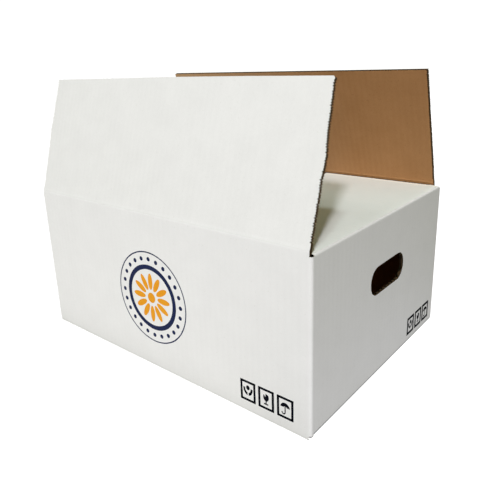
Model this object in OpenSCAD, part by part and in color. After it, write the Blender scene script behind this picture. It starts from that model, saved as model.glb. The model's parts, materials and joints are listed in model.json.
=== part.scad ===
/* [Box] */
// Outside length of the box
box_l = 420; // [380:1:600]
// Outside width of the box
box_w = 300; // [200:1:330]
// Height of the score lines at the top of the walls
box_h = 188; // [172:1:320]

/* [Board] */
// Thickness of the corrugated board
board_t = 4; // [3:0.1:5]
// Thickness of each flat liner
liner_t = 0.4; // [0.3:0.05:0.6]
// Thickness of the fluted sheet between the liners
medium_t = 0.4; // [0.3:0.05:0.6]
// Wanted distance from one flute to the next
flute_pitch = 7.8; // [6:0.1:10]
// Inside radius of a folded edge
fold_in_r = 1; // [0.5:0.1:3]

/* [Flaps] */
// Gap between the free edges of two facing long flaps that lie flat
seam_gap = 1; // [0.5:0.1:6]
// Gap between the end of a long flap and the inside of the end wall
slot_clear = 2.5; // [1:0.1:6]
// Gap between the side of an end flap and the inside of the long wall
side_clear = 1.5; // [0.5:0.1:5]
// Extra length of the top end flaps over the bottom ones
end_more = 11.5; // [0:0.5:20]
// Gap between the closed long flaps and the end flaps under them
close_gap = 1.2; // [0.3:0.05:2]
// Rise of the long flaps' hinge lines above the score lines
fold_rise = 4.2; // [3.4:0.1:6]
// Gap on each side of a long flap's hinge line
crease_gap = 0.25; // [0.25:0.05:0.6]
// Width of the crushed strip along a top flap's crease
crush_h = 10; // [6:1:20]
// Wanted distance from one saw tooth of a slot edge to the next
tooth_pitch = 3.2; // [2:0.1:5]
// Depth of the saw teeth
tooth_h = 1; // [0.4:0.1:1.6]
// Height of the lower slot ends above the floor
slot_lift = 3; // [1:0.1:4]
// Drop of the upper slot ends at the front below the end flaps
front_slot_drop = 0.8; // [0.5:0.1:4.5]
// Drop of the upper slot ends at the back below the end flaps
back_slot_drop = 4.5; // [0.5:0.1:4.5]
// Lean of the front flap inwards from upright, in degrees
front_lean = 17; // [0:0.5:40]
// Lean of the back flap inwards from upright, in degrees
back_lean = 18.5; // [0:0.5:40]

/* [Hand holes] */
// Length of a hand hole
hole_w = 80; // [60:1:120]
// Height of a hand hole
hole_h = 32; // [20:1:45]
// Height of a hand hole's middle above the floor
hole_z = 118; // [60:1:130]
// Distance of a hand hole's middle behind the middle of the end wall
hole_y = 4; // [0:0.5:10]

/* [Glued corner] */
// Width of the glue tab from the outside of the end wall
tab_w = 36; // [25:1:60]
// Slope of the tab's ends over its width
tab_taper = 14; // [0:1:30]
// Gap between the tab's ends and the folded end flaps
tab_clear = 1.5; // [0.5:0.1:6]
// Distance of the back wall's cut edge from the outside of the end wall
lap_gap = 2; // [0.5:0.1:3]

/* [Hidden] */
arc_fn = 64;
// Share of the flute pitch that lies flat on a liner
crest_share = 0.32;
// Share of the board thickness that the glue line dips into the fold
dip_share = 0.05;
// Overrun of every cut past the face that it starts from
over = board_t;
half_l = box_l / 2;
half_w = box_w / 2;
fold_r = fold_in_r + board_t;
flap_d = half_w - seam_gap / 2;
// The first strip of a long top flap is taken up by the rise of its hinge line
top_flap_d = flap_d - fold_rise;
top_end_d = flap_d + end_more;
long_flap_l = box_l - 2 * (board_t + slot_clear);
end_flap_w = box_w - 2 * (board_t + side_clear);
// The flaps of the left end stop one board short of the glued corner
lap_flap_w = end_flap_w - board_t;
crease_z = box_h + fold_rise;
end_top = crease_z - board_t - close_gap;
front_post = end_top - front_slot_drop;
back_post = end_top - back_slot_drop;
tab_low = 2 * board_t + tab_clear;
tab_high = end_top - board_t - tab_clear;
lap_dip = fold_r - sqrt(pow(fold_r, 2) - pow(fold_r - lap_gap, 2)) + board_t * dip_share;
white = [0.92, 0.92, 0.9];

// Rectangle with rounded corners
module round_rect(l, w, r) {
    square([l - 2 * r, w], center = true);
    square([l, w - 2 * r], center = true);
    for (sx = [-1, 1], sy = [-1, 1])
        translate([sx * (l / 2 - r), sy * (w / 2 - r)])
            circle(r = r, $fn = arc_fn);
}

// Quarter of a folded board, bulging towards the side given by the signs
module fold_arc(sx, sy) {
    intersection() {
        difference() {
            circle(r = fold_r, $fn = arc_fn);
            circle(r = fold_in_r, $fn = arc_fn);
        }
        translate([sx > 0 ? 0 : -fold_r, sy > 0 ? 0 : -fold_r])
            square([fold_r, fold_r]);
    }
}

// Plan of the four walls with the lapped corner at the left of the back wall
module wall_plan() {
    difference() {
        round_rect(box_l, box_w, fold_r);
        round_rect(box_l - 2 * board_t, box_w - 2 * board_t, fold_in_r);
        translate([-half_l - over, half_w - board_t - fold_r])
            square([fold_r + over, board_t + fold_r + over]);
    }
    translate([-half_l + fold_r, half_w - board_t - fold_r])
        fold_arc(-1, 1);
    translate([-half_l + lap_gap, half_w - board_t - lap_dip])
        square([fold_r - lap_gap, board_t + lap_dip]);
}

// Section of an end wall with the flaps folded in at its foot and its top
module end_section() {
    translate([half_l - fold_r, end_top - fold_r])
        fold_arc(1, 1);
    translate([half_l - fold_r, board_t + fold_r])
        fold_arc(1, -1);
    translate([half_l - board_t, board_t + fold_r])
        square([board_t, end_top - board_t - 2 * fold_r]);
    translate([half_l - flap_d, board_t])
        square([flap_d - fold_r, board_t]);
    translate([half_l - top_end_d, end_top - board_t])
        square([top_end_d - fold_r, board_t]);
}

// Section of a long wall with its bottom flap and the mitred crease at its top
module long_section() {
    polygon([
        [-half_w, fold_r],
        [-half_w + board_t, fold_r],
        [-half_w + board_t, crease_z - board_t - crease_gap],
        [-half_w, crease_z - crease_gap]
    ]);
    translate([-half_w + fold_r, fold_r])
        fold_arc(-1, -1);
    translate([-half_w + fold_r, 0])
        square([flap_d - fold_r, board_t]);
}

// Glue tab folded from the left end wall onto the back wall
module glue_tab() {
    translate([0, half_w - board_t, 0])
        rotate([90, 0, 0])
            linear_extrude(height = board_t)
                polygon([
                    [-half_l + fold_r, tab_low],
                    [-half_l + tab_w, tab_low + tab_taper],
                    [-half_l + tab_w, tab_high - tab_taper],
                    [-half_l + fold_r, tab_high]
                ]);
}

// Room in the walls for the folded edges
module fold_rooms() {
    for (sy = [-1, 1])
        translate([-long_flap_l / 2, sy * half_w - (sy < 0 ? over : fold_r), -over])
            cube([long_flap_l, fold_r + over, fold_r + over]);
    for (sx = [-1, 1], z = [-over, end_top - fold_r])
        translate([sx * half_l - (sx < 0 ? over : fold_r), -end_flap_w / 2, z])
            cube([
                fold_r + over,
                sx < 0 ? lap_flap_w : end_flap_w,
                (z < 0 ? board_t : 0) + fold_r + over
            ]);
}

// Hand holes through both end walls
module hand_holes() {
    translate([-half_l - over, hole_y, hole_z])
        rotate([90, 0, 90])
            linear_extrude(height = box_l + 2 * over) {
                square([hole_w - hole_h, hole_h], center = true);
                for (s = [-1, 1])
                    translate([s * (hole_w - hole_h) / 2, 0])
                        circle(d = hole_h, $fn = arc_fn);
            }
}

// Hollow of one flute, wide at one liner and narrow under the crest at the other
module flute_cell(pitch) {
    crest = pitch * crest_share / 2;
    wide = pitch / 2 - crest - medium_t / 2;
    narrow = crest - medium_t / 2;
    polygon([
        [-wide, board_t - liner_t],
        [wide, board_t - liner_t],
        [narrow, liner_t + medium_t],
        [-narrow, liner_t + medium_t]
    ]);
}

// Hollows of a board of that width, open at both cut sides
module flute_hollows(w) {
    n = round(w / flute_pitch);
    pitch = w / n;
    for (i = [0 : n])
        translate([-w / 2 + i * pitch, 0])
            flute_cell(pitch);
    for (i = [0 : n - 1])
        translate([-w / 2 + (2 * i + 1) * pitch / 2, board_t])
            mirror([0, 1])
                flute_cell(pitch);
}

// Saw teeth of a slot cut along one side of a flap, from the crushed strip to the free edge
module slot_teeth(w, from, to, side) {
    n = round((to - from) / tooth_pitch);
    step = (to - from) / n;
    polygon(concat(
        [[w / 2 + side, from]],
        [for (i = [0 : 2 * n]) [w / 2 - (i % 2) * tooth_h, from + i * step / 2]],
        [[w / 2 + side, to]]
    ));
}

// Flutes and slot teeth of an end flap of that width, at the right end
module end_flap_cuts(w) {
    translate([half_l - top_end_d, 0, end_top - board_t])
        rotate([90, 0, 90])
            linear_extrude(height = top_end_d - fold_r - crush_h)
                intersection() {
                    flute_hollows(w);
                    translate([-w / 2, 0])
                        square([w, board_t]);
                }
    for (m = [0, 1])
        mirror([0, m, 0])
            translate([half_l, 0, end_top - board_t - over])
                rotate([0, 0, 90])
                    linear_extrude(height = board_t + 2 * over)
                        slot_teeth(w, fold_r + crush_h, top_end_d, side_clear / 2);
}

// End wall with its flaps of that width, at the right end
module end_panel(w) {
    translate([0, w / 2, 0])
        rotate([90, 0, 0])
            linear_extrude(height = w)
                end_section();
}

module carton() {
    color(white)
        difference() {
            union() {
                difference() {
                    translate([0, 0, slot_lift])
                        linear_extrude(height = front_post - slot_lift)
                            wall_plan();
                    fold_rooms();
                    translate([-half_l - over, 0, back_post])
                        cube([box_l + 2 * over, half_w + over, board_t + over]);
                }
                glue_tab();
                end_panel(end_flap_w);
                translate([0, -board_t / 2, 0])
                    mirror([1, 0, 0])
                        end_panel(lap_flap_w);
                for (m = [0, 1])
                    mirror([0, m, 0])
                        translate([-long_flap_l / 2, 0, 0])
                            rotate([90, 0, 90])
                                linear_extrude(height = long_flap_l)
                                    long_section();
            }
            hand_holes();
            end_flap_cuts(end_flap_w);
            translate([0, -board_t / 2, 0])
                mirror([1, 0, 0])
                    end_flap_cuts(lap_flap_w);
        }
}

// Long flap standing upright on its crease, outside towards -Y
module long_flap() {
    difference() {
        union() {
            translate([-long_flap_l / 2, 0, 0])
                rotate([90, 0, 90])
                    linear_extrude(height = long_flap_l)
                        polygon([
                            [0, crease_gap],
                            [board_t, board_t + crease_gap],
                            [board_t, crush_h],
                            [0, crush_h]
                        ]);
            translate([0, 0, crush_h])
                linear_extrude(height = top_flap_d - crush_h)
                    difference() {
                        translate([-long_flap_l / 2, 0])
                            square([long_flap_l, board_t]);
                        flute_hollows(long_flap_l);
                    }
        }
        for (m = [0, 1])
            mirror([m, 0, 0])
                translate([0, board_t + over, 0])
                    rotate([90, 0, 0])
                        linear_extrude(height = board_t + 2 * over)
                            slot_teeth(long_flap_l, crush_h, top_flap_d, over);
    }
}

module front_flap() {
    color(white)
        translate([0, -half_w, crease_z])
            rotate([-front_lean, 0, 0])
                long_flap();
}

module back_flap() {
    color(white)
        translate([0, half_w, crease_z])
            rotate([back_lean, 0, 0])
                mirror([0, 1, 0])
                    long_flap();
}

carton();
front_flap();
back_flap();
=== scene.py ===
import json
import math
import random

import bpy
from mathutils import Matrix

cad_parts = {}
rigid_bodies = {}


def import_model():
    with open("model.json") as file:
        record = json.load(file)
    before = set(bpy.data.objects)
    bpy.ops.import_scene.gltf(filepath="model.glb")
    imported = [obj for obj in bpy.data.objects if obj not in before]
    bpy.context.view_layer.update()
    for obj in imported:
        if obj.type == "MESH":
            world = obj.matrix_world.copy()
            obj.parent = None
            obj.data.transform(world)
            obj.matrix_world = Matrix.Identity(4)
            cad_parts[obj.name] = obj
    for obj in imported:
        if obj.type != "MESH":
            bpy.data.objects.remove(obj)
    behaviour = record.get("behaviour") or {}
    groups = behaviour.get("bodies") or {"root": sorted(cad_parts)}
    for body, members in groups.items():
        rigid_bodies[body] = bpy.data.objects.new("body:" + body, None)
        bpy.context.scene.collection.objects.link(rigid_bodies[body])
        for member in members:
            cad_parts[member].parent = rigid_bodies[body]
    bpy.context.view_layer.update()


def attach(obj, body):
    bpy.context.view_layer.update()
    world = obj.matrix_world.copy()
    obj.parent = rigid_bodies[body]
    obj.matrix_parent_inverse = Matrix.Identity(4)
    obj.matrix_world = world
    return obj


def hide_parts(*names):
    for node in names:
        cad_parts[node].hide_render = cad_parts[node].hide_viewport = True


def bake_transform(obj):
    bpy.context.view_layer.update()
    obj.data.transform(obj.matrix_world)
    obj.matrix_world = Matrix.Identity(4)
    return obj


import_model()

# Board in metres: its liners, the fluted paper between them and the pitch of the flutes
BOARD, LINER, MEDIUM = 0.004, 0.0004, 0.0003
PITCH, WAVE_STEPS, WAVE_FULLNESS = 0.0078, 12, 0.75
SHORT_OF_EDGE = 0.0006

# Tolerance of a place, and shares of a normal that tell which way a face looks
NEAR = 1e-5
FACING, STEEP, LEVEL = 0.5, 0.7, 0.9

# Walls: outside sizes, corners and folds
LENGTH, WIDTH = 0.420, 0.300
HALF_L, HALF_W = LENGTH / 2, WIDTH / 2
CORNER, LEAST_CORNER, CORNER_STEPS = 0.0030, 0.0006, 5
FOLD, FOLD_STEPS = 0.005, 6
END_FOLD, LONG_FOLD = 0.0022, 0.0009

# Heights and half lengths of the end walls, the corner posts and the long walls
FOOT, FOOT_REACH, POST_FOOT = 0.0038, 0.2026, 0.0046
FOOT_PLAY, FOOT_TAPER = 0.0004, 0.002
END_TOP = 0.1863
END_SIDE, LAP_SIDE = 0.1456, 0.1405
FRONT_POST, BACK_POST = 0.1848, 0.1839
FRONT_REACH, BACK_REACH = 0.2073, 0.2021
# Height of the band of painted shade along the bottom folds of the end walls
SHADE_BAND = 0.0007

# Flaps: lengths, saw teeth along the slots, and the torn back edge of the end flaps
FLAP, END_FLAP, LONG_FLAP = 0.1495, 0.1610, 0.1486
FLAP_GAP, CRUSH = 0.0011, 0.010
TOOTH, BACK_TOOTH, TOOTH_STEP = 0.0017, 0.0008, 0.0023
SHALLOWEST, DEEPEST = 0.5, 1.2
END_SEED, FRONT_SEED, BACK_SEED = 11, 3, 5
TORN, TORN_LIFT, TORN_RIM = 0.0044, 0.0006, 0.0004

# Folds of the long flaps: height of the score line, ends of the bent strip and lean at rest
BEND = 0.1884
STRIP_LOW, STRIP_UP, BENT = 0.1858, 0.008, 0.0052
FRONT_LEAN, BACK_LEAN = math.radians(17), math.radians(18.5)

# Hand holes
HOLE_W, HOLE_H, HOLE_Y, HOLE_Z = 0.080, 0.032, 0.004, 0.118
HOLE_FLAT, HOLE_STEPS, HOLE_WEAR, HOLE_PAST = 0.001, 16, 0.0003, 0.02
HOLE_SLOT, HOLE_SEED = 3, 4

# Glue tab at the back left corner
TAB_EDGE, TAB_TAPER = -0.174, 0.83
LAP_Y = HALF_W - BOARD - FOLD
LAP_EDGE = 0.003


# Modelling by hand

def leave_edit():
    if bpy.context.object and bpy.context.object.mode != "OBJECT":
        bpy.ops.object.mode_set(mode="OBJECT")


def put_down():
    leave_edit()
    bpy.ops.object.select_all(action="DESELECT")


def take(ob):
    put_down()
    ob.select_set(True)
    bpy.context.view_layer.objects.active = ob


def edit(ob, action="SELECT"):
    take(ob)
    bpy.ops.object.mode_set(mode="EDIT")
    bpy.ops.mesh.select_mode(type="VERT")
    bpy.ops.mesh.select_all(action=action)


def begin(name):
    ob = bpy.context.object
    ob.name = ob.data.name = name
    edit(ob)
    return ob


def add_plane(name):
    put_down()
    bpy.ops.mesh.primitive_plane_add(size=1)
    return begin(name)


def near(a, b):
    return abs(a - b) < NEAR


def within(value, low, high):
    return low - NEAR < value < high + NEAR


def pick(ob, test):
    edit(ob, "DESELECT")
    bpy.ops.object.mode_set(mode="OBJECT")
    for v in ob.data.vertices:
        v.select = test(v.co)
    bpy.ops.object.mode_set(mode="EDIT")
    bpy.ops.mesh.select_mode(type="VERT")


def pick_faces(ob, test):
    edit(ob, "DESELECT")
    bpy.ops.mesh.select_mode(type="FACE")
    bpy.ops.object.mode_set(mode="OBJECT")
    for p in ob.data.polygons:
        p.select = test(p.center, p.normal)
    bpy.ops.object.mode_set(mode="EDIT")


def move(x, y, z):
    bpy.ops.transform.translate(value=(x, y, z))


def grow(x, y, z, at=(0, 0, 0)):
    bpy.ops.transform.resize(value=(x, y, z), center_override=at)


def turn(angle, axis, at=(0, 0, 0)):
    bpy.ops.transform.rotate(value=-angle, orient_axis=axis, center_override=at)


def draw_out(x, y, z):
    bpy.ops.mesh.extrude_edges_move(TRANSFORM_OT_translate={"value": (x, y, z)})


def draw_solid(x, y, z):
    bpy.ops.mesh.extrude_region_move(TRANSFORM_OT_translate={"value": (x, y, z)})


def round_corners(offset, segments):
    bpy.ops.mesh.bevel(offset=offset, segments=segments, affect="VERTICES")


def cut(ob, at, normal, **keep):
    edit(ob)
    bpy.ops.mesh.bisect(plane_co=at, plane_no=normal, **keep)


def turn_over(ob):
    edit(ob)
    bpy.ops.mesh.flip_normals()
    leave_edit()


def apply(ob, kind, **settings):
    take(ob)
    mod = ob.modifiers.new(kind.lower(), kind)
    for key, value in settings.items():
        setattr(mod, key, value)
    bpy.ops.object.modifier_apply(modifier=mod.name)


def copy_of(ob, name):
    take(ob)
    bpy.ops.object.duplicate()
    twin = bpy.context.object
    twin.name = twin.data.name = name
    return twin


def close_up(ob):
    edit(ob)
    bpy.ops.mesh.remove_doubles(threshold=1e-6)
    bpy.ops.mesh.normals_make_consistent(inside=False)
    leave_edit()


def smooth(ob, angle=35):
    take(ob)
    bpy.ops.object.shade_smooth_by_angle(angle=math.radians(angle))


def dress(ob, *mats):
    ob.data.materials.clear()
    for mat in mats:
        ob.data.materials.append(mat)


def paint(ob, mat, test):
    pick_faces(ob, test)
    ob.active_material_index = list(ob.data.materials).index(mat)
    bpy.ops.object.material_slot_assign()
    leave_edit()


def settle(ob, body, *nodes):
    leave_edit()
    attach(ob, body)
    if nodes:
        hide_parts(*nodes)


# Shader groups for paper and board

RIDGE_HEIGHT, GRAIN_HEIGHT = 0.000035, 0.000012
BUMP_STRENGTH, BUMP_DISTANCE = 0.6, 1.0
MOTTLE_SHARE, FIBRE_SHARE, FLECK_SHARE, PLAIN_SHARE = 0.45, 0.3, 0.35, 0.5
# Span along X and largest share of the painted reflection that lightens the kraft inside the flaps towards the
# left
REFLECTION_FROM, REFLECTION_TO, REFLECTION_MOST = 0.10, -0.20, 0.7
UNDERSIDE = 0.8


def new_group(name, takes, gives):
    tree = bpy.data.node_groups.new(name, "ShaderNodeTree")
    for way, sockets in (("INPUT", takes), ("OUTPUT", gives)):
        for label, kind in sockets:
            tree.interface.new_socket(label, in_out=way, socket_type="NodeSocket" + kind)
    return tree, tree.nodes.new("NodeGroupInput"), tree.nodes.new("NodeGroupOutput")


def put(tree, kind, **settings):
    node = tree.nodes.new("ShaderNode" + kind)
    for key, value in settings.items():
        setattr(node, key, value)
    return node


def feed(tree, socket, value):
    if isinstance(value, (tuple, float, int)):
        socket.default_value = value
    else:
        tree.links.new(value, socket)


def math_node(tree, operation, a, b=0.0, clamp=False):
    node = put(tree, "Math", operation=operation, use_clamp=clamp)
    feed(tree, node.inputs[0], a)
    feed(tree, node.inputs[1], b)
    return node.outputs[0]


def noise(tree, vector, scale, detail=2.0, rough=0.5):
    node = put(tree, "TexNoise")
    for label, value in (("Scale", scale), ("Detail", detail), ("Roughness", rough), ("Vector", vector)):
        feed(tree, node.inputs[label], value)
    return node.outputs["Fac"]


def stretch(tree, vector, scale):
    node = put(tree, "Mapping")
    node.inputs["Scale"].default_value = scale
    tree.links.new(vector, node.inputs["Vector"])
    return node.outputs["Vector"]


def spread(tree, value, low, high, to_low=0.0, to_high=1.0):
    node = put(tree, "MapRange")
    for label, number in (("Value", value), ("From Min", low), ("From Max", high),
                          ("To Min", to_low), ("To Max", to_high)):
        feed(tree, node.inputs[label], number)
    return node.outputs["Result"]


def mix_colour(tree, factor, a, b):
    node = put(tree, "Mix", data_type="RGBA")
    for socket, value in ((node.inputs[0], factor), (node.inputs[6], a), (node.inputs[7], b)):
        feed(tree, socket, value)
    return node.outputs[2]


def make_fibre_group():
    tree, takes, gives = new_group(
        "paper_fibre",
        [("Vector", "Vector")],
        [("Mottle", "Float"), ("Fibre", "Float"), ("Fleck", "Float")],
    )
    vector = takes.outputs["Vector"]
    cloud = noise(tree, vector, scale=38.0, detail=4.0, rough=0.6)
    tree.links.new(spread(tree, cloud, low=0.3, high=0.7), gives.inputs["Mottle"])
    drawn = stretch(tree, vector, (1.0, 1.0, 0.35))
    fine = noise(tree, drawn, scale=900.0, detail=3.0, rough=0.7)
    tree.links.new(spread(tree, fine, low=0.35, high=0.65), gives.inputs["Fibre"])
    speck = noise(tree, vector, scale=420.0, detail=1.0, rough=0.4)
    tree.links.new(spread(tree, speck, low=0.70, high=0.76), gives.inputs["Fleck"])
    return tree


def make_washboard_group():
    tree, takes, gives = new_group(
        "washboard",
        [("Across", "Float"), ("Pitch", "Float"), ("Vector", "Vector")],
        [("Ridge", "Float"), ("Height", "Float")],
    )
    turns = math_node(tree, "DIVIDE", takes.outputs["Across"], takes.outputs["Pitch"])
    wave = math_node(tree, "SINE", math_node(tree, "MULTIPLY", turns, 2 * math.pi))
    wander = noise(tree, takes.outputs["Vector"], scale=9.0)
    strength = spread(tree, wander, low=0.3, high=0.7, to_low=0.25)
    ridge = math_node(tree, "MULTIPLY", wave, strength)
    tree.links.new(spread(tree, ridge, low=-1.0, high=1.0), gives.inputs["Ridge"])
    tree.links.new(math_node(tree, "MULTIPLY", ridge, RIDGE_HEIGHT), gives.inputs["Height"])
    return tree


def make_across_group():
    tree, takes, gives = new_group(
        "across_flutes",
        [("Vector", "Vector"), ("Normal", "Vector")],
        [("Across", "Float")],
    )
    place = put(tree, "SeparateXYZ")
    tree.links.new(takes.outputs["Vector"], place.inputs[0])
    facing = put(tree, "SeparateXYZ")
    tree.links.new(takes.outputs["Normal"], facing.inputs[0])
    long_wall = math_node(tree, "GREATER_THAN", math_node(tree, "ABSOLUTE", facing.outputs["Y"]), STEEP)
    underside = math_node(tree, "LESS_THAN", place.outputs["Z"], BOARD * UNDERSIDE)
    by_x = math_node(tree, "MAXIMUM", long_wall, underside)
    gap = math_node(tree, "SUBTRACT", place.outputs["X"], place.outputs["Y"])
    across = math_node(tree, "ADD", place.outputs["Y"], math_node(tree, "MULTIPLY", gap, by_x))
    tree.links.new(across, gives.inputs["Across"])
    return tree


FIBRE = make_fibre_group()
WASHBOARD = make_washboard_group()
ACROSS = make_across_group()


def place_group(tree, group):
    node = tree.nodes.new("ShaderNodeGroup")
    node.node_tree = group
    return node


def new_material(name, roughness, sheen=0.3):
    mat = bpy.data.materials.new(name)
    mat.use_nodes = True
    shader = mat.node_tree.nodes["Principled BSDF"]
    shader.inputs["Roughness"].default_value = roughness
    shader.inputs["Specular IOR Level"].default_value = sheen
    return mat, mat.node_tree, shader


def add_share(tree, total, value, share, clamp=False):
    return math_node(tree, "ADD", total, math_node(tree, "MULTIPLY", value, share), clamp)


def add_bump(tree, shader, height):
    bump = put(tree, "Bump")
    bump.inputs["Strength"].default_value = BUMP_STRENGTH
    bump.inputs["Distance"].default_value = BUMP_DISTANCE
    tree.links.new(height, bump.inputs["Height"])
    tree.links.new(bump.outputs["Normal"], shader.inputs["Normal"])


def board_material(name, light, dark, fleck, roughness, streak, flap=False, reflection_tint=None):
    """Paper of a liner: mottled, with fibres, flecks and the show of the flutes under it."""
    mat, tree, shader = new_material(name, roughness)
    coord = put(tree, "TexCoord")
    vector = coord.outputs["Object"]
    fibre = place_group(tree, FIBRE)
    tree.links.new(vector, fibre.inputs["Vector"])
    board = place_group(tree, WASHBOARD)
    board.inputs["Pitch"].default_value = PITCH
    tree.links.new(vector, board.inputs["Vector"])
    if flap:
        place = put(tree, "SeparateXYZ")
        tree.links.new(vector, place.inputs[0])
        tree.links.new(place.outputs["X"], board.inputs["Across"])
    else:
        across = place_group(tree, ACROSS)
        tree.links.new(vector, across.inputs["Vector"])
        tree.links.new(coord.outputs["Normal"], across.inputs["Normal"])
        tree.links.new(across.outputs["Across"], board.inputs["Across"])
    shade = math_node(tree, "MULTIPLY", fibre.outputs["Mottle"], MOTTLE_SHARE)
    shade = add_share(tree, shade, fibre.outputs["Fibre"], FIBRE_SHARE)
    shade = add_share(tree, shade, board.outputs["Ridge"], streak, clamp=True)
    colour = mix_colour(tree, shade, light, dark)
    # Painted reflection: the kraft is lightened towards the left end of the flap.
    if reflection_tint:
        reflection_share = spread(tree, place.outputs["X"], REFLECTION_FROM, REFLECTION_TO, to_high=REFLECTION_MOST)
        colour = mix_colour(tree, reflection_share, colour, reflection_tint)
    flecks = math_node(tree, "MULTIPLY", fibre.outputs["Fleck"], FLECK_SHARE)
    tree.links.new(mix_colour(tree, flecks, colour, fleck), shader.inputs["Base Color"])
    add_bump(tree, shader, add_share(tree, board.outputs["Height"], fibre.outputs["Fibre"], GRAIN_HEIGHT))
    return mat


def plain_material(name, light, dark, roughness, depth, sheen=0.3):
    """Cut paper or ink: a mottled colour with a fine grain."""
    mat, tree, shader = new_material(name, roughness, sheen)
    fibre = place_group(tree, FIBRE)
    tree.links.new(put(tree, "TexCoord").outputs["Object"], fibre.inputs["Vector"])
    shade = math_node(tree, "MULTIPLY", fibre.outputs["Mottle"], PLAIN_SHARE)
    shade = add_share(tree, shade, fibre.outputs["Fibre"], PLAIN_SHARE, clamp=True)
    tree.links.new(mix_colour(tree, shade, light, dark), shader.inputs["Base Color"])
    add_bump(tree, shader, math_node(tree, "MULTIPLY", fibre.outputs["Fibre"], depth))
    return mat


def linear(r, g, b):
    def one(c):
        c = c / 255
        return c / 12.92 if c <= 0.04045 else ((c + 0.055) / 1.055) ** 2.4
    return (one(r), one(g), one(b), 1.0)


# Light and dark tone of each paper and ink

WHITE_WALL = linear(244, 243, 241), linear(236, 235, 233)
# Same white paper painted lighter and greener on the end flaps' tops: painted light on the up-facing faces.
WHITE_TOP_PAINTED_LIGHT = linear(247, 251, 246), linear(240, 245, 239)
# Same white paper painted a shade darker on the long flaps' outsides: painted shade.
WHITE_FLAP_SHADED = linear(236, 235, 232), linear(227, 226, 223)
KRAFT = linear(169, 124, 79), linear(152, 108, 65)
WHITE_CUT = linear(226, 222, 208), linear(196, 186, 166)
KRAFT_CUT = linear(96, 72, 46), linear(66, 48, 30)
# Near black of the corner cores: painted shade inside the slots and under the corners.
CORE_SHADE = linear(40, 32, 21), linear(24, 19, 12)
# Inside of the board (fluting, the liners' inner faces, cut ends): brown paper painted darker, as painted shade
# between the liners.
FLUTING_AND_SHADE = linear(84, 64, 38), linear(58, 43, 25)
# Cut edge of the hand holes through the outer liner: near black, painted shade of the hole.
HOLE_SHADE = linear(30, 26, 21), linear(14, 12, 9)
HOLE_RIM = linear(138, 134, 126), linear(46, 44, 41)
# Torn back edge of the end flaps: cream paper, painted brighter than the top as a painted highlight.
TORN_PAPER_HIGHLIGHT = linear(255, 251, 238), linear(252, 246, 230)
# Grey of the end walls' bottom folds: painted shade where the fold turns under towards the floor.
FOLD_SHADE = linear(172, 172, 172), linear(154, 154, 154)
BLACK = linear(8, 9, 18), linear(14, 16, 27)
NAVY = linear(28, 36, 70), linear(38, 48, 86)
ORANGE = linear(234, 150, 20), linear(240, 168, 50)
WHITE_FLECK, KRAFT_FLECK = linear(220, 219, 213), linear(128, 90, 56)
# Lighter kraft of the painted reflection from the white flap.
KRAFT_REFLECTION = linear(205, 168, 128)
WHITE_ROUGH, WHITE_STREAK = 0.62, 0.16
KRAFT_ROUGH, KRAFT_STREAK = 0.8, 0.22
CUT_ROUGH, FOLD_SHADE_ROUGH, SIGN_ROUGH, INK_ROUGH = 0.9, 0.85, 0.8, 0.7
CUT_GRAIN, CORE_GRAIN, TORN_GRAIN, INK_GRAIN = 0.00005, 0.00003, 0.00008, 0.00001
DULL, INK_SHEEN = 0.05, 0.1

white_board = board_material("white_liner", *WHITE_WALL, WHITE_FLECK, WHITE_ROUGH, WHITE_STREAK)
lit_white_top = board_material("white_top_liner_painted_light", *WHITE_TOP_PAINTED_LIGHT, WHITE_FLECK, WHITE_ROUGH, WHITE_STREAK)
shaded_white_flap = board_material("white_flap_liner_painted_shade", *WHITE_FLAP_SHADED, WHITE_FLECK, WHITE_ROUGH, WHITE_STREAK, flap=True)
kraft_board = board_material("kraft_liner", *KRAFT, KRAFT_FLECK, KRAFT_ROUGH, KRAFT_STREAK)
kraft_flap = board_material("kraft_flap_liner", *KRAFT, KRAFT_FLECK, KRAFT_ROUGH, KRAFT_STREAK,
                            flap=True, reflection_tint=KRAFT_REFLECTION)
white_edge = plain_material("white_cut_edge", *WHITE_CUT, CUT_ROUGH, CUT_GRAIN)
kraft_edge = plain_material("kraft_cut_edge", *KRAFT_CUT, CUT_ROUGH, CUT_GRAIN)
core_painted_shade = plain_material("core_painted_shade", *CORE_SHADE, CUT_ROUGH, CORE_GRAIN)
fluting_and_shade = plain_material("fluting_paper_and_painted_shade", *FLUTING_AND_SHADE, CUT_ROUGH, CORE_GRAIN)
hole_edge_shade = plain_material("hole_edge_shade", *HOLE_SHADE, CUT_ROUGH, CUT_GRAIN, DULL)
hole_rim = plain_material("hole_rim", *HOLE_RIM, CUT_ROUGH, CUT_GRAIN, DULL)
torn_edge_highlight = plain_material("torn_edge_highlight", *TORN_PAPER_HIGHLIGHT, CUT_ROUGH, TORN_GRAIN)
fold_shade_line = plain_material("fold_shade_line", *FOLD_SHADE, FOLD_SHADE_ROUGH, CORE_GRAIN)
sign_ink = plain_material("sign_ink", *BLACK, SIGN_ROUGH, INK_GRAIN, DULL)
navy_ink = plain_material("navy_ink", *NAVY, INK_ROUGH, INK_GRAIN, INK_SHEEN)
orange_ink = plain_material("orange_ink", *ORANGE, INK_ROUGH, INK_GRAIN, INK_SHEEN)


# The carton's liners, each folded from one outline

def fold_over(ob, test, centre, axis):
    pick(ob, test)
    bpy.ops.mesh.spin(steps=FOLD_STEPS, angle=math.pi / 2, center=centre, axis=axis)


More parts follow.
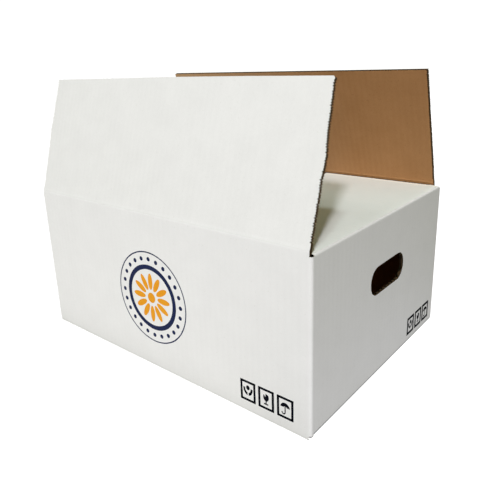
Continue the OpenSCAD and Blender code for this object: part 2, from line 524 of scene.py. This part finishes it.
def toothed_flap(ob, side, low, high, z, rim):
    """Draws an end flap inwards from its fold with saw teeth along both slots."""
    middle, half = (low + high) / 2, (high - low) / 2
    draw = random.Random(END_SEED + side)
    pick(ob, lambda c: near(c.x, side * (HALF_L - rim)) and near(c.z, z) and within(c.y, low, high))
    draw_out(-side * CRUSH, 0, 0)
    run = END_FLAP - rim - CRUSH
    count = round(run / TOOTH_STEP)
    width = half
    for i in range(1, 2 * count + 1):
        wanted = half - FLAP_GAP - (i % 2) * TOOTH * draw.uniform(SHALLOWEST, 1.0)
        draw_out(-side * run / count / 2, 0, 0)
        grow(1, wanted / width, 1, (0, middle, 0))
        width = wanted


def fold_carton(name, inset):
    """Sheet of one liner: walls from a bevelled outline, folds spun from their edges, flaps drawn out."""
    hl, hw, round_off = HALF_L - inset, HALF_W - inset, max(CORNER - inset, LEAST_CORNER)
    rim, base = max(END_FOLD, inset + LINER), max(LONG_FOLD, inset + LINER)
    foot, brim = FOOT + rim, END_TOP - rim
    head = max(brim, BACK_POST)
    reach = {-1: min(FRONT_REACH, hl - round_off), 1: BACK_REACH}

    # Walls in rows, cut where slots and folds begin
    sheet = add_plane(name)
    grow(2 * hl, 2 * hw, 1)
    round_corners(round_off, CORNER_STEPS)
    bpy.ops.mesh.delete(type="ONLY_FACE")
    bpy.ops.mesh.select_all(action="SELECT")
    move(0, 0, base)
    level = base
    for z in sorted((POST_FOOT, foot, foot + SHADE_BAND, BACK_POST, brim)):
        draw_out(0, 0, z - level)
        level = z
    for x in (-reach[-1], reach[-1], -reach[1], reach[1], -HALF_L + FOLD):
        cut(sheet, (x, 0, 0), (1, 0, 0))
    for y in (-END_SIDE, LAP_SIDE, LAP_Y, END_SIDE):
        cut(sheet, (0, y, 0), (0, 1, 0))

    def room(c, n):
        if c.x > hl - NEAR and abs(c.y) < END_SIDE:
            return not foot < c.z < brim
        if c.x < -hl + NEAR and -END_SIDE < c.y < LAP_SIDE:
            return not foot < c.z < brim
        if c.x < -HALF_L + FOLD and c.y > LAP_Y:
            return True
        if c.z < foot and c.x > reach[1] and c.y > END_SIDE:
            return True
        if c.z < POST_FOOT and abs(c.x) > reach[-1] and c.y < -END_SIDE:
            return True
        return c.z > BACK_POST and c.y > 0 and not (c.y > hw - NEAR and abs(c.x) < reach[1])

    pick_faces(sheet, room)
    bpy.ops.mesh.delete(type="FACE")

    # End flaps, top and bottom
    for side, low, high in ((1, -END_SIDE, END_SIDE), (-1, -END_SIDE, LAP_SIDE)):
        turned = side * (HALF_L - rim)

        def on_end(c, x, z):
            return near(c.x, x) and within(c.y, low, high) and near(c.z, z)

        fold_over(sheet, lambda c: on_end(c, side * hl, brim), (turned, 0, brim), (0, side, 0))
        fold_over(sheet, lambda c: on_end(c, side * hl, foot), (turned, 0, foot), (0, -side, 0))
        toothed_flap(sheet, side, low, high, END_TOP - inset, rim)
        pick(sheet, lambda c: on_end(c, turned, FOOT + inset))
        draw_out(-side * (HALF_L - rim - FOOT_REACH), 0, BOARD - FOOT)
        draw_out(-side * (FOOT_REACH - HALF_L + FLAP), 0, 0)

    # Front posts, long bottom flaps and the edges under the long creases
    pick(sheet, lambda c: near(c.z, head) and c.y < -END_SIDE + NEAR)
    draw_out(0, 0, FRONT_POST - head)
    for side, post in ((-1, FRONT_POST), (1, head)):
        turned = side * (HALF_W - base)

        def on_long(c, z):
            return near(c.y, side * hw) and within(c.x, -reach[side], reach[side]) and near(c.z, z)

        fold_over(sheet, lambda c: on_long(c, base), (0, turned, base), (side, 0, 0))
        pick(sheet, lambda c: near(c.y, turned) and near(c.z, inset))
        draw_out(0, -side * FOOT_TAPER, 0)
        grow((FOOT_REACH - FOOT_PLAY) / reach[side], 1, 1)
        draw_out(0, -side * (FLAP - base - FOOT_TAPER), 0)
        pick(sheet, lambda c: on_long(c, post))
        draw_out(0, 0, STRIP_LOW - post)

    # Glue tab, and the cut edge of the back wall beside it
    fold_over(sheet, lambda c: near(c.x, -hl) and near(c.y, LAP_Y), (-HALF_L + FOLD, LAP_Y, 0), (0, 0, 1))
    pick(sheet, lambda c: near(c.x, -HALF_L + FOLD) and near(c.y, LAP_Y + FOLD - inset)
         and within(c.z, foot, min(brim, BACK_POST)))
    draw_out(TAB_EDGE + HALF_L - FOLD, 0, 0)
    grow(1, 1, TAB_TAPER, (0, 0, (END_TOP + BOARD) / 2))
    pick(sheet, lambda c: near(c.x, -HALF_L + FOLD) and near(c.y, hw))
    draw_out(-LAP_EDGE, 0, 0)

    # Back edge of the end flaps, torn and lifted on the outer liner
    for y in (END_SIDE - TORN - TORN_RIM, END_SIDE - TORN):
        cut(sheet, (0, y, 0), (0, 1, 0))
    if inset < LINER:
        pick(sheet, lambda c: near(c.z, END_TOP) and abs(c.x) < HALF_L - rim - NEAR
             and END_SIDE - TORN + NEAR < c.y < END_SIDE + NEAR)
        move(0, 0, TORN_LIFT)
    close_up(sheet)
    front = [p for p in sheet.data.polygons if p.center.y < -hw + NEAR]
    if front[0].normal.y > 0:
        turn_over(sheet)
    return sheet


def hole_cutter():
    """Rounded bar through both ends, a little uneven, as a worn die cuts."""
    cutter = add_plane("hole_cutter")
    grow(HOLE_W, HOLE_H, 1)
    round_corners(HOLE_H / 2 - HOLE_FLAT, HOLE_STEPS)
    bpy.ops.mesh.select_all(action="SELECT")
    bpy.ops.transform.vertex_random(offset=HOLE_WEAR, seed=HOLE_SEED)
    grow(1, 1, 0)
    turn(math.pi / 2, "X")
    turn(math.pi / 2, "Z")
    move(-HALF_L - HOLE_PAST, HOLE_Y, HOLE_Z)
    draw_solid(LENGTH + 2 * HOLE_PAST, 0, 0)
    close_up(cutter)
    dress(cutter, *[hole_edge_shade] * (HOLE_SLOT + 1))
    for p in cutter.data.polygons:
        p.material_index = HOLE_SLOT
    return cutter


def flutes(name, width, length):
    """Fluted paper lying flat, flutes along Y, one flute modelled and repeated."""
    put_down()
    bpy.ops.mesh.primitive_grid_add(x_subdivisions=WAVE_STEPS, y_subdivisions=1, size=1)
    ob = begin(name)
    grow(PITCH, length, 1)
    rise = BOARD / 2 - LINER - MEDIUM / 2 - NEAR
    for k in range(WAVE_STEPS + 1):
        x = (k / WAVE_STEPS - 0.5) * PITCH
        pick(ob, lambda c: near(c.x, x))
        lift = math.cos(2 * math.pi * x / PITCH)
        move(0, 0, rise * math.copysign(abs(lift) ** WAVE_FULLNESS, lift))
    count = math.ceil(width / PITCH) + 2
    edit(ob)
    move(-(count - 1) * PITCH / 2, 0, 0)
    apply(ob, "ARRAY", count=count, use_relative_offset=False, use_constant_offset=True,
          constant_offset_displace=(PITCH, 0, 0), use_merge_vertices=True, merge_threshold=NEAR)
    for side in (-1, 1):
        cut(ob, (side * width / 2, 0, 0), (side, 0, 0), clear_outer=True)
    apply(ob, "SOLIDIFY", thickness=MEDIUM, offset=0)
    smooth(ob, angle=50)
    dress(ob, fluting_and_shade)
    edit(ob)
    return ob


def corner_core(name, side_x, side_y, top):
    """Crushed board between the liners of a folded corner, coloured near black as painted shade of the slot."""
    ob = add_plane(name)
    low = POST_FOOT - 3 * LINER if side_y < 0 else FOOT + END_FOLD
    x0 = FRONT_REACH if side_y < 0 else HALF_L - BOARD + LINER
    x1, y0, y1 = HALF_L - LINER, END_SIDE, HALF_W - LINER
    grow(x1 - x0, y1 - y0, 1)
    move(side_x * (x0 + x1) / 2, side_y * (y0 + y1) / 2, low)
    pick(ob, lambda c: near(c.x, side_x * x1) and near(c.y, side_y * y1))
    round_corners(CORNER - LINER, CORNER_STEPS)
    edit(ob)
    draw_solid(0, 0, top - low - 2 * LINER)
    close_up(ob)
    dress(ob, core_painted_shade)
    settle(ob, "box", "carton")


outer_liner = fold_carton("carton_outside", 0.0)
inner_liner = fold_carton("carton_inside", BOARD - LINER)
cutter = hole_cutter()
dress(outer_liner, white_board, fluting_and_shade, white_edge, hole_edge_shade, torn_edge_highlight, fold_shade_line, lit_white_top)
dress(inner_liner, fluting_and_shade, kraft_board, kraft_edge, hole_rim)
# Up-facing tops of the end flaps take the lighter white: painted light.
paint(outer_liner, lit_white_top, lambda c, n: c.z > END_TOP - NEAR and n.z > LEVEL)
# Torn back edge of the end flaps' tops: cream paper with a painted highlight.
paint(outer_liner, torn_edge_highlight, lambda c, n: c.z > END_TOP - NEAR and c.y > END_SIDE - TORN and n.z > LEVEL)
# Bottom folds of the end walls painted grey: painted shade of the turn under the wall.
paint(outer_liner, fold_shade_line, lambda c, n: c.z < FOOT + END_FOLD + SHADE_BAND and abs(c.x) > HALF_L - END_FOLD
      and abs(c.y) < END_SIDE)
for sheet in (outer_liner, inner_liner):
    apply(sheet, "SOLIDIFY", thickness=LINER, offset=-1, use_even_offset=True,
          material_offset=1, material_offset_rim=2)
    apply(sheet, "BOOLEAN", object=cutter, operation="DIFFERENCE", solver="EXACT")
    smooth(sheet)
    settle(sheet, "box", "carton")
corner_core("front_right_core", 1, -1, FRONT_POST)
corner_core("front_left_core", -1, -1, FRONT_POST)
corner_core("back_right_core", 1, 1, BACK_POST)

WALL_LOW, WALL_HIGH = BOARD + 2 * FOLD, END_TOP - 2 * FOLD
for name, side, width, middle in (("right", 1, 2 * END_SIDE, 0.0),
                                  ("left", -1, END_SIDE + LAP_SIDE, (LAP_SIDE - END_SIDE) / 2)):
    wall = flutes(name + "_wall_flutes", width, WALL_HIGH - WALL_LOW)
    turn(math.pi / 2, "X")
    turn(math.pi / 2, "Z")
    move(side * (HALF_L - BOARD / 2), middle, (WALL_LOW + WALL_HIGH) / 2)
    apply(wall, "BOOLEAN", object=cutter, operation="DIFFERENCE", solver="EXACT")
    dress(wall, fluting_and_shade)
    settle(wall, "box", "carton")
    for level, place, reach in (("top", END_TOP - BOARD / 2, END_FLAP), ("bottom", BOARD + BOARD / 2, FLAP)):
        run = reach - FOLD - CRUSH
        flap = flutes(name + "_" + level + "_flap_flutes", width - 2 * (FLAP_GAP + DEEPEST * TOOTH), run)
        turn(math.pi / 2, "Z")
        move(side * (HALF_L - reach + run / 2), middle, place)
        settle(flap, "box", "carton")
for name, side in (("front", -1), ("back", 1)):
    run = FLAP - FOLD - CRUSH
    flap = flutes(name + "_bottom_flap_flutes", 2 * (FOOT_REACH - SHORT_OF_EDGE), run)
    move(0, side * (HALF_W - FLAP + run / 2), BOARD / 2)
    settle(flap, "box", "carton")
leave_edit()
bpy.data.objects.remove(cutter)


# The long flaps and their creases

# Half length of each flap at heights above its bend, and the bow of its free edge
FRONT_EDGE = (
    (0.000, 0.2073), (0.055, 0.2075), (0.062, 0.2071), (0.070, 0.2077), (0.076, 0.2082), (0.084, 0.2081),
    (0.089, 0.2076), (0.095, 0.2068), (0.103, 0.2061), (0.120, 0.2056), (0.130, 0.2050), (0.149, 0.2042),
)
BACK_EDGE = ((0.000, BACK_REACH), (0.020, 0.2028), (0.149, 0.2029))
FRONT_BOW = (-0.0006, 0.0, 0.0010, 0.0009, 0.0003)
BACK_BOW = (-0.0002, -0.0001, 0.0001, 0.0003, 0.0004)
COLUMNS = len(FRONT_BOW) - 1
FRONT_ROUNDING, LEFT_SPARE, BACK_SHRINK = 0.0014, 0.0018, 0.004

# Rows of the crease: below the score line, beside it and through the bend
BELOW_SCORE = (0.66, 0.33)
SCORE_STEP, SCORE_ROWS = 0.0004, 4
BEND_STEP, BEND_ROWS = 0.00068, 9
GROOVE, GAP_SHADE_SHARE, WALL_WHITE = 0.00004, 0.4, 0.25


def half_length(edge, s, rounding):
    """Half the length of a long flap at a height above its bend, as the slots were cut."""
    for (s0, h0), (s1, h1) in zip(edge, edge[1:]):
        if s <= s1:
            break
    half = h0 + (h1 - h0) * (s - s0) / (s1 - s0)
    left = rounding - (LONG_FLAP - s)
    if left > 0:
        half -= rounding - math.sqrt(max(rounding ** 2 - left ** 2, 0.0))
    return half


def flap_liner(name, edge, rounding, bow, spare, tooth, seed):
    """Liner of a long flap, upright on its bend, with saw teeth along both slots and a bowed free edge."""
    put_down()
    tall = LONG_FLAP - STRIP_UP
    rows = 2 * round(tall / TOOTH_STEP)
    bpy.ops.mesh.primitive_grid_add(x_subdivisions=COLUMNS, y_subdivisions=rows, size=1)
    ob = begin(name)
    half = edge[0][1]
    grow(2 * half, tall, 1)
    turn(math.pi / 2, "X")
    move(0, 0, (LONG_FLAP + STRIP_UP) / 2)
    draw = random.Random(seed)
    for side in (-1, 1):
        for i in range(rows + 1):
            z = STRIP_UP + i * tall / rows
            wanted = half_length(edge, z, rounding) + (spare if side < 0 else 0.0) * i / rows
            if i % 2 and z < LONG_FLAP - rounding:
                wanted -= tooth * draw.uniform(SHALLOWEST, DEEPEST)
            pick(ob, lambda c: near(c.x, side * half) and near(c.z, z))
            move(side * (wanted - half), 0, 0)
    for k, lift in enumerate(bow):
        middle = (2 * k / COLUMNS - 1) * half
        pick(ob, lambda c: c.z > LONG_FLAP - NEAR and abs(c.x - middle) < half / COLUMNS)
        move(0, 0, lift)
    close_up(ob)
    if ob.data.polygons[0].normal.y > 0:
        turn_over(ob)
    return ob


def set_on_wall(side):
    if side > 0:
        turn(math.pi, "Z")
    move(0, side * HALF_W, BEND)


def ease(share):
    share = min(max(share, 0.0), 1.0)
    return share * share * (3 - 2 * share)


def crease_strip(name, side, lean, reach):
    """Board of a long flap's fold, scored along the line and bent in rows."""
    put_down()
    bpy.ops.mesh.primitive_cube_add(size=1)
    ob = begin(name)
    low, high = STRIP_LOW - BEND, STRIP_UP
    grow(2 * reach, BOARD, high - low)
    move(0, BOARD / 2, (high + low) / 2)
    rows = [low * part for part in BELOW_SCORE]
    rows += [SCORE_STEP * k for k in range(SCORE_ROWS)]
    rows += [rows[-1] + BEND_STEP * k for k in range(1, BEND_ROWS + 1)]
    for z in rows:
        cut(ob, (0, 0, z), (0, 0, 1))
    for z in rows[::-1]:
        if near(z, 0.0):
            pick(ob, lambda c: near(c.z, z) and c.y < NEAR)
            move(0, GROOVE, 0)
        pick(ob, lambda c: near(c.z, z))
        turn(-lean * ease((z - low) / (BENT - low)), "X")
    pick(ob, lambda c: c.z > high - NEAR)
    turn(-lean, "X")
    dress(ob, shaded_white_flap, kraft_flap, fluting_and_shade, kraft_edge, white_board)
    paint(ob, kraft_flap, lambda c, n: n.y > FACING)
    paint(ob, fluting_and_shade, lambda c, n: abs(n.x) > FACING or abs(n.z) > STEEP)
    # Lower part of the strip's kraft inside painted dark: painted shade of the gap behind the end flap's back
    # edge.
    paint(ob, kraft_edge, lambda c, n: n.y > FACING and c.z < low * GAP_SHADE_SHARE)
    # Near the wall the strip keeps the walls' white. Above it begins the flaps' darker white, which is painted
    # shade.
    paint(ob, white_board, lambda c, n: n.y < -FACING and c.z < BENT * WALL_WHITE)
    smooth(ob)
    edit(ob)
    set_on_wall(side)
    leave_edit()
    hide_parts("carton")
    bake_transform(ob)


def long_flap(name, side, lean, edge, bow, tooth, seed, rounding=0.0, spare=0.0, shrink=0.0):
    """Both liners and the flutes of a long flap, leaning on its wall, and the crease under them."""
    outer = flap_liner(name + "_flap_outside", edge, rounding, bow, spare, tooth, seed)
    inner = copy_of(outer, name + "_flap_inside")
    edit(inner)
    grow(1 - shrink, 1, 1)
    move(0, BOARD - LINER, 0)
    dress(outer, shaded_white_flap, fluting_and_shade, white_edge)
    dress(inner, fluting_and_shade, kraft_flap, kraft_edge)
    for ob in (outer, inner):
        apply(ob, "SOLIDIFY", thickness=LINER, offset=-1, material_offset=1, material_offset_rim=2)
    shortest = min(half for _, half in edge)
    wave = flutes(name + "_flap_flutes", 2 * (shortest - DEEPEST * tooth), LONG_FLAP - STRIP_UP - SHORT_OF_EDGE)
    turn(math.pi / 2, "X")
    move(0, BOARD / 2, (LONG_FLAP + STRIP_UP - SHORT_OF_EDGE) / 2)
    for ob in (outer, inner, wave):
        edit(ob)
        turn(-lean, "X")
        set_on_wall(side)
        settle(ob, name, name + "_flap")
    crease_strip(name + "_crease", side, lean, edge[0][1])


long_flap("front", -1, FRONT_LEAN, FRONT_EDGE, FRONT_BOW, TOOTH, FRONT_SEED,
          rounding=FRONT_ROUNDING, spare=LEFT_SPARE)
long_flap("back", 1, BACK_LEAN, BACK_EDGE, BACK_BOW, BACK_TOOTH, BACK_SEED, shrink=BACK_SHRINK)


# Print on the front and the right end

INK = 0.00007
FRAME_CORNER = 0.0005


def start_print(name):
    put_down()
    bpy.ops.mesh.primitive_circle_add(vertices=3, radius=0.001, fill_type="NGON")
    ob = begin(name)
    bpy.ops.mesh.delete(type="VERT")
    return ob


def add_disc(radius, at=(0, 0), sides=48):
    bpy.ops.mesh.primitive_circle_add(vertices=sides, radius=radius, fill_type="NGON", location=(*at, 0))


def add_ring(outer, inner, at=(0, 0), sides=96):
    bpy.ops.mesh.primitive_circle_add(vertices=sides, radius=outer, fill_type="NOTHING", location=(*at, 0))
    draw_out(0, 0, 0)
    grow(inner / outer, inner / outer, 1, (*at, 0))
    bpy.ops.mesh.select_linked()


def add_bar(x0, y0, x1, y1):
    middle = ((x0 + x1) / 2, (y0 + y1) / 2, 0)
    bpy.ops.mesh.primitive_plane_add(size=1, location=middle)
    grow(abs(x1 - x0), abs(y1 - y0), 1, middle)


def keep_side(at, normal):
    bpy.ops.mesh.bisect(plane_co=(*at, 0), plane_no=(*normal, 0), use_fill=False, clear_outer=True)
    bpy.ops.mesh.select_linked()


def lay_print(ob, wall, u, v):
    """Turns flat print upright and lays it on the front or the right end wall."""
    edit(ob)
    bpy.ops.mesh.normals_make_consistent(inside=False)
    leave_edit()
    if ob.data.polygons[0].normal.z < 0:
        turn_over(ob)
    edit(ob)
    turn(math.pi / 2, "X")
    if wall == "front":
        move(u, -HALF_W - INK, v)
    else:
        turn(math.pi / 2, "Z")
        move(HALF_L + INK, u, v)
    settle(ob, "box")


def frame_print(name, wide, high, line):
    ob = add_plane(name)
    grow(wide, high, 1)
    round_corners(FRAME_CORNER, segments=3)
    bpy.ops.mesh.select_all(action="SELECT")
    bpy.ops.mesh.inset(thickness=line)
    bpy.ops.mesh.delete(type="FACE")
    return ob


# Signs, drawn with half a frame as the unit

def ball_in_hands():
    ball, ball_at = 0.23, (0, 0.32)
    back_of_hand, palm, wrist, tall = 0.62, 0.37, (0, 0.24), 1.1
    apart, fingertips = 0.07, 0.30
    add_disc(ball, ball_at, sides=32)
    for side in (-1, 1):
        add_ring(back_of_hand, palm, wrist, sides=64)
        grow(1.0, tall, 1, (*wrist, 0))
        keep_side((side * apart, 0), (-side, 0))
        keep_side((0, fingertips), (0, 1))


def broken_glass():
    bowl, bowl_at, tall = 0.35, (0, 0.20), 1.15
    crack, stem, plate = -0.06, 0.07, 0.27
    for side, rim, slant in ((-1, 0.20, 0.9), (1, 0.54, 0.3)):
        add_disc(bowl, bowl_at, sides=40)
        grow(1.0, tall, 1, (*bowl_at, 0))
        keep_side((crack, rim), (slant, 1))
        keep_side((crack, 0), (-side, 0))
    add_bar(-stem, -0.44, stem, -0.12)
    add_bar(-plate, -0.54, plate, -0.41)


def umbrella():
    canopy, hollow, canopy_at, hem = 0.62, 0.28, (0, -0.13), 0.06
    shaft, shaft_top = 0.06, 0.30
    hook, hook_in, hook_at = 0.25, 0.13, (-0.19, -0.40)
    add_ring(canopy, hollow, canopy_at, sides=64)
    keep_side((0, hem), (0, -1))
    add_bar(-shaft, hook_at[1], shaft, shaft_top)
    add_ring(hook, hook_in, hook_at, sides=40)
    keep_side((0, hook_at[1]), (0, 1))


# Places of the signs along a wall and up it, and the width, height and line of their frames
FRONT_SIGNS, FRONT_SIGNS_Z, FRONT_FRAME = (0.1349, 0.15775, 0.18065), 0.0240, (0.0194, 0.0236, 0.0027)
END_SIGNS, END_SIGNS_Z, END_FRAME = (0.0782, 0.1017, 0.12465), 0.0243, (0.0204, 0.0233, 0.0034)
for wall, places, v, (wide, high, line) in (("front", FRONT_SIGNS, FRONT_SIGNS_Z, FRONT_FRAME),
                                            ("end", END_SIGNS, END_SIGNS_Z, END_FRAME)):
    for sign, u in zip((ball_in_hands, broken_glass, umbrella), places):
        mark = start_print(wall + "_" + sign.__name__)
        sign()
        bpy.ops.mesh.select_all(action="SELECT")
        grow(wide / 2, high / 2, 1)
        dress(mark, sign_ink)
        lay_print(mark, wall, u, v)
        square = frame_print(wall + "_" + sign.__name__ + "_frame", wide, high, line)
        dress(square, sign_ink)
        lay_print(square, wall, u, v)

# Medallion on the front: its middle, rings, dots and petals
MEDALLION = (-0.004, 0.0893)
THIN_RING, BROAD_RING = (0.0560, 0.0545), (0.0400, 0.0345)
DOTS, DOT, DOT_CIRCLE = 24, 0.0026, 0.0472
HEART = 0.0062
PETALS, PETAL, PETAL_AT, PETAL_SLIM = 12, 0.0100, 0.0200, 0.36
navy = start_print("medallion_navy")
add_ring(*THIN_RING)
add_ring(*BROAD_RING)
for k in range(DOTS):
    angle = 2 * math.pi * k / DOTS
    add_disc(DOT, (DOT_CIRCLE * math.cos(angle), DOT_CIRCLE * math.sin(angle)), sides=20)
dress(navy, navy_ink)
lay_print(navy, "front", *MEDALLION)
orange = start_print("medallion_orange")
add_disc(HEART, sides=32)
for k in range(PETALS):
    add_disc(PETAL, (PETAL_AT, 0), sides=28)
    grow(1.0, PETAL_SLIM, 1, (PETAL_AT, 0, 0))
    turn(2 * math.pi * k / PETALS, "Z")
dress(orange, orange_ink)
lay_print(orange, "front", *MEDALLION)


# Floor

FLOOR_RADIUS, FLOOR_DROP, FLOOR_CURVE = 7, 0.0002, 2
put_down()
bpy.ops.mesh.primitive_circle_add(vertices=64, radius=FLOOR_RADIUS, fill_type="NGON")
floor = begin("floor")
move(0, 0, -FLOOR_DROP)
draw_out(0, 0, FLOOR_RADIUS)
pick(floor, lambda c: c.z < FLOOR_RADIUS / 2)
bpy.ops.mesh.bevel(offset=FLOOR_CURVE, segments=8)
leave_edit()
smooth(floor, angle=60)
floor_paper, floor_tree, floor_shader = new_material("pale_floor", 0.9)
floor_coord = put(floor_tree, "TexCoord")
floor_cloud = noise(floor_tree, floor_coord.outputs["Object"], scale=1.5)
floor_tint = mix_colour(floor_tree, floor_cloud, (0.30, 0.30, 0.30, 1), (0.31, 0.31, 0.31, 1))
floor_tree.links.new(floor_tint, floor_shader.inputs["Base Color"])
floor_shader.inputs["Emission Color"].default_value = (1, 1, 1, 1)
floor_shader.inputs["Emission Strength"].default_value = 1.0
dress(floor, floor_paper)
floor.visible_diffuse = False
floor.visible_glossy = False
floor.visible_shadow = False


# Light

LAMP_AIM, LAMP_GAIN = (0, 0, 0.15), 1.05
BOUNCE_DROP = 0.01
SKY_COLOUR, SKY_STRENGTH = (0.97, 1, 0.64, 1), 0.15


def leave_inside_dark(lamp):
    """The lamp gives no light to the carton's inside, which stays black behind the hand hole."""
    group = bpy.data.collections.new(lamp.name + "_not_inside")
    group.objects.link(inner_liner)
    for entry in group.collection_objects:
        entry.light_linking.link_state = "EXCLUDE"
    lamp.light_linking.receiver_collection = group


def add_light(name, azimuth, elevation, strength, size, away, colour, inside=True):
    """Round soft box; strength is the light that a white face turned towards it gives back."""
    bpy.ops.object.light_add(type="AREA")
    lamp = bpy.context.object
    lamp.name = name
    az, el = math.radians(azimuth), math.radians(elevation)
    way = (math.sin(az) * math.cos(el), -math.cos(az) * math.cos(el), math.sin(el))
    lamp.location = [a + w * away for a, w in zip(LAMP_AIM, way)]
    lamp.rotation_euler = (math.radians(90 - elevation), 0, math.radians(azimuth))
    lamp.data.shape = "DISK"
    lamp.data.size = size
    lamp.data.color = colour
    lamp.data.energy = LAMP_GAIN * strength * (math.pi * away) ** 2
    if not inside:
        leave_inside_dark(lamp)


def add_bounce(name, x0, x1, y0, y1, strength, colour):
    """Light thrown back by the floor beside a wall, from just under the floor's face."""
    middle = ((x0 + x1) / 2, (y0 + y1) / 2, -BOUNCE_DROP)
    bpy.ops.object.light_add(type="AREA", location=middle, rotation=(math.pi, 0, 0))
    lamp = bpy.context.object
    lamp.name = name
    lamp.data.shape = "RECTANGLE"
    lamp.data.size, lamp.data.size_y = x1 - x0, y1 - y0
    lamp.data.color = colour
    lamp.data.energy = strength * math.pi * (x1 - x0) * (y1 - y0)


add_light("high_key", azimuth=26, elevation=56, strength=0.185, size=0.35, away=4.5,
          colour=(0.90, 0.98, 0.97), inside=False)
add_light("low_key", azimuth=28, elevation=33, strength=0.645, size=0.35, away=4.5,
          colour=(0.955, 0.935, 1.0), inside=False)
add_light("left_fill", azimuth=-50, elevation=40, strength=0.12, size=0.6, away=3.0,
          colour=(0.90, 0.97, 1.0), inside=False)
add_light("top_soft", azimuth=120, elevation=75, strength=0.03, size=1.5, away=3.0,
          colour=(0.90, 1.0, 0.80))
add_light("back_fill", azimuth=180, elevation=5, strength=0.50, size=0.6, away=4.5,
          colour=(0.94, 0.93, 1.0))
add_bounce("front_bounce", x0=-0.95, x1=0.15, y0=-0.85, y1=-0.17, strength=0.48, colour=(0.98, 0.97, 1.0))
add_bounce("right_bounce", x0=0.22, x1=0.54, y0=-0.42, y1=0.20, strength=0.445, colour=(0.80, 0.805, 1.0))

world = bpy.data.worlds.new("studio")
bpy.context.scene.world = world
world.use_nodes = True
sky = world.node_tree.nodes["Background"]
sky.inputs["Color"].default_value = SKY_COLOUR
sky.inputs["Strength"].default_value = SKY_STRENGTH


# Camera, fitted to the photograph

CAMERA_POSE = Matrix((
    (0.76607, -0.15812, 0.62301, 0.4320),
    (0.64173, 0.24309, -0.72739, -0.5048),
    (-0.03643, 0.95703, 0.28769, 0.3457),
    (0, 0, 0, 1),
))
LENS, SENSOR, SHIFT_X, SHIFT_Y = 39.578, 36, 0.0075, -0.0438
bpy.ops.object.camera_add()
camera = bpy.context.object
camera.name = "photo_camera"
camera.matrix_world = CAMERA_POSE
camera.data.sensor_width = SENSOR
camera.data.lens = LENS
camera.data.shift_x = SHIFT_X
camera.data.shift_y = SHIFT_Y
camera.data.clip_start = 0.01
bpy.context.scene.camera = camera
bpy.context.scene.view_settings.view_transform = "Standard"
